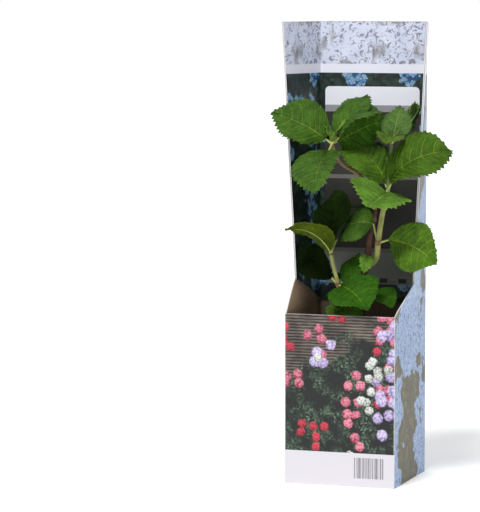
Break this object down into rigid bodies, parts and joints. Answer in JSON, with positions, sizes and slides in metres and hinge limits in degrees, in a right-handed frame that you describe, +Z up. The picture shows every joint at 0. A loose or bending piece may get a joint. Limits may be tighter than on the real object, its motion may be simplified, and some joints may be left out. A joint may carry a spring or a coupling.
{
  "type": "potted hydrangea shrub in an open-fronted carton",
  "caption": "Young leafy hydrangea with arching stems and broad toothed leaves, in a round nursery pot inside a tall open-fronted printed carton.",
  "frame": {"origin": "middle of the flat underside of the carton", "axes": "+Z up, -Y towards the low open front of the carton, +X to the right seen from that front"},
  "size_m": [0.2039, 0.1651, 0.504],
  "materials": {
    "bare_board": "bare grey-brown board",
    "printed_board": "printed board, satin varnish",
    "printed_lining": "printed paper, satin varnish",
    "pot_plastic": "thin matt black plastic",
    "soil": "dark crumbly peat",
    "bark": "smooth red-brown bark with raised pores",
    "green_shoot": "yellow-green young bark",
    "leaf": "soft mid-green leaf with a low sheen"
  },
  "bodies": {
    "root": {"carton_base": "bare_board", "carton_back_panel": "printed_board", "carton_front_panel": "printed_board", "carton_left_side": "printed_board", "carton_right_side": "printed_board", "lining_back": "printed_lining", "lining_left": "printed_lining", "lining_right": "printed_lining", "nursery_pot": "pot_plastic", "potting_soil": "soil", "main_stem": "bark", "left_bough": "bark", "right_bough": "green_shoot", "low_bough": "green_shoot", "crown_left_foliage": "leaf", "crown_right_foliage": "leaf", "left_spray_foliage": "leaf", "middle_right_leaf": "leaf", "middle_left_leaf": "leaf", "low_left_leaf": "leaf", "low_front_leaf": "leaf", "low_inner_leaf": "leaf", "foot_left_leaf": "leaf", "foot_right_leaf": "leaf", "sprout_leaf": "leaf", "back_upper_leaf": "leaf", "back_lower_leaf": "leaf"}
  },
  "joints": []
}
